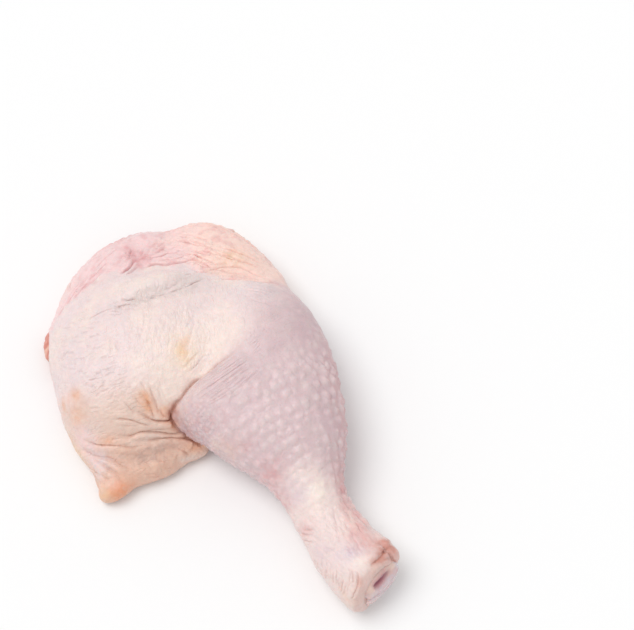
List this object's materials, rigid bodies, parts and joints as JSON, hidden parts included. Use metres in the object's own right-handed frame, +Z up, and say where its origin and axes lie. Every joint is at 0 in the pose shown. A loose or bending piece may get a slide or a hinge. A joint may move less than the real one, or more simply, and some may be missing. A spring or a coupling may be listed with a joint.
{
  "type": "raw chicken leg quarter",
  "caption": "Raw chicken leg quarter with its skin on: a plump thigh, a bent drumstick cut off at the hock and a loose flap of skin. It lies flat, skin side up.",
  "frame": {"origin": "middle of the bounding box in plan, on the surface that the leg lies on", "axes": "+Z up, skin side up; -Y towards the cut hock, +Y towards the back of the thigh; -X towards the hip side of the thigh, +X towards the knee"},
  "size_m": [0.1326, 0.2076, 0.0461],
  "materials": {
    "skin": "moist pale pink skin with fine bumps, soft sheen",
    "cartilage": "wet pearly cartilage, glossy",
    "bare_meat": "moist raw meat, glossy"
  },
  "bodies": {
    "root": {"leg": "skin", "shank_bone": "cartilage", "thigh_meat": "bare_meat"}
  },
  "joints": []
}
